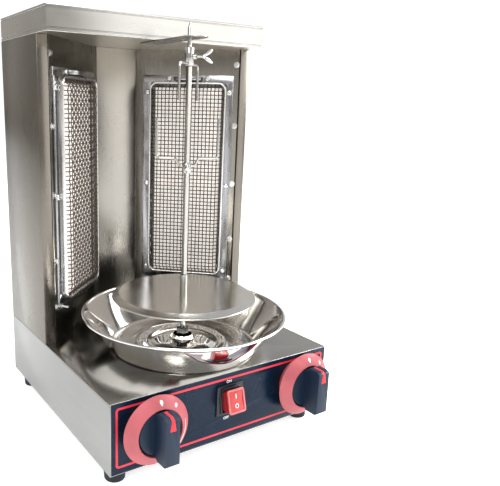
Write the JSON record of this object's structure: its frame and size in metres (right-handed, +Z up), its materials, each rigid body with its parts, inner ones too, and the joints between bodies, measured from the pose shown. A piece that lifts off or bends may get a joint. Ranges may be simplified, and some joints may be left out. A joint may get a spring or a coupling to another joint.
{
  "type": "vertical rotisserie broiler",
  "caption": "Table-top vertical gas broiler: stainless base with knobs and rocker switch, V-shaped burner niche, drip pan, carving disc and upright spit with sliding forks.",
  "frame": {"origin": "on the standing surface, under the middle of the outline", "axes": "+Z up, -Y towards the control panel, +X to the right seen from the front"},
  "size_m": [0.3, 0.373, 0.4923],
  "materials": {
    "aluminium": "satin",
    "bezel_red": "satin",
    "brass": "machined",
    "bronze": "sintered bronze",
    "brushed_steel": "brushed",
    "burner_steel": "satin, heat dulled",
    "ceramic": null,
    "disc_steel": "brushed in a circle",
    "gland_black": "satin",
    "knob_black": "fine grain",
    "overlay": "satin print on film",
    "pointer_red": "satin",
    "polished_steel": "mirror polished",
    "rocker_red": "translucent gloss",
    "rubber": "matt",
    "spit_steel": "satin",
    "switch_black": "gloss",
    "wire": "drawn wire",
    "zinc": "bright zinc plate"
  },
  "bodies": {
    "housing": {"base_shell": "brushed_steel", "base_top": "brushed_steel", "bottom_plate": "brushed_steel", "burner_screws": "zinc", "ceiling_plate": "brushed_steel", "control_panel": "overlay", "cord_gland": "gland_black", "edge_screws": "zinc", "flame_sensors": "brass", "foot_screws": "zinc", "gas_inlet_fitting": "brass", "gas_manifold": "zinc", "gas_tubes": "aluminium", "gas_valves": "aluminium", "gear_motor": "zinc", "injectors": "brass", "left_burner_box": "burner_steel", "left_burner_bracket": "burner_steel", "left_knob_bezel": "bezel_red", "left_mesh_frame": "burner_steel", "left_plaques": "ceramic", "left_wing_panel": "brushed_steel", "left_wire_mesh": "wire", "motor_bracket": "zinc", "niche_back_panel": "brushed_steel", "right_burner_box": "burner_steel", "right_burner_bracket": "burner_steel", "right_knob_bezel": "bezel_red", "right_mesh_frame": "burner_steel", "right_plaques": "ceramic", "right_wing_panel": "brushed_steel", "right_wire_mesh": "wire", "rubber_feet": "rubber", "shaft_bush": "bronze", "spit_guide_plate": "brushed_steel", "switch_housing": "switch_black", "top_clips": "burner_steel", "top_cover": "brushed_steel", "tower_back": "brushed_steel", "tower_left_side": "brushed_steel", "tower_right_side": "brushed_steel"},
    "pan": {"drip_pan": "polished_steel"},
    "drive": {"drive_shaft": "spit_steel", "drive_coupling": "zinc"},
    "spit": {"spit_rod": "spit_steel", "carving_disc": "disc_steel", "disc_sleeve": "spit_steel"},
    "lower_fork": {"lower_fork": "spit_steel"},
    "lower_screw": {"lower_wing_screw": "zinc"},
    "upper_fork": {"upper_fork": "spit_steel"},
    "upper_screw": {"upper_wing_screw": "zinc"},
    "left_cup": {"left_spring_cup": "zinc"},
    "right_cup": {"right_spring_cup": "zinc"},
    "left_knob": {"left_knob": "knob_black", "left_knob_pointer": "pointer_red", "left_valve_stem": "brass"},
    "right_knob": {"right_knob": "knob_black", "right_knob_pointer": "pointer_red", "right_valve_stem": "brass"},
    "rocker": {"switch_rocker": "rocker_red"}
  },
  "joints": [
    {"name": "pan_lift", "type": "slide", "parent": "housing", "child": "pan", "axis": [0, 0, 1], "range_m": [0, 0.02]},
    {"name": "spit_spin", "type": "hinge", "parent": "housing", "child": "drive", "pos_m": [0, -0.0443, 0.109], "axis": [0, 0, 1], "continuous": true},
    {"name": "spit_lift", "type": "slide", "parent": "drive", "child": "spit", "axis": [0, 0, 1], "range_m": [0, 0.009]},
    {"name": "lower_fork_slide", "type": "slide", "parent": "spit", "child": "lower_fork", "axis": [0, 0, 1], "range_m": [-0.1, 0]},
    {"name": "upper_fork_slide", "type": "slide", "parent": "spit", "child": "upper_fork", "axis": [0, 0, 1], "range_m": [-0.05, 0]},
    {"name": "lower_screw_turn", "type": "hinge", "parent": "lower_fork", "child": "lower_screw", "pos_m": [0, -0.0443, 0.319], "axis": [-0.5358, -0.8443, 0], "range_deg": [0, 180]},
    {"name": "upper_screw_turn", "type": "hinge", "parent": "upper_fork", "child": "upper_screw", "pos_m": [0, -0.0443, 0.444], "axis": [0.632, -0.7749, 0], "range_deg": [0, 180]},
    {"name": "left_knob_push", "type": "slide", "parent": "housing", "child": "left_cup", "axis": [0, 1, 0], "range_m": [0, 0.003], "stiffness_N_per_m": 2000},
    {"name": "left_knob_turn", "type": "hinge", "parent": "left_cup", "child": "left_knob", "pos_m": [-0.103, -0.142, 0.066], "axis": [0, 1, 0], "range_deg": [0, 150]},
    {"name": "right_knob_push", "type": "slide", "parent": "housing", "child": "right_cup", "axis": [0, 1, 0], "range_m": [0, 0.003], "stiffness_N_per_m": 2000},
    {"name": "right_knob_turn", "type": "hinge", "parent": "right_cup", "child": "right_knob", "pos_m": [0.103, -0.142, 0.066], "axis": [0, 1, 0], "range_deg": [0, 150]},
    {"name": "switch_rock", "type": "hinge", "parent": "housing", "child": "rocker", "pos_m": [0, -0.145, 0.0685], "axis": [1, 0, 0], "range_deg": [0, 29]}
  ]
}
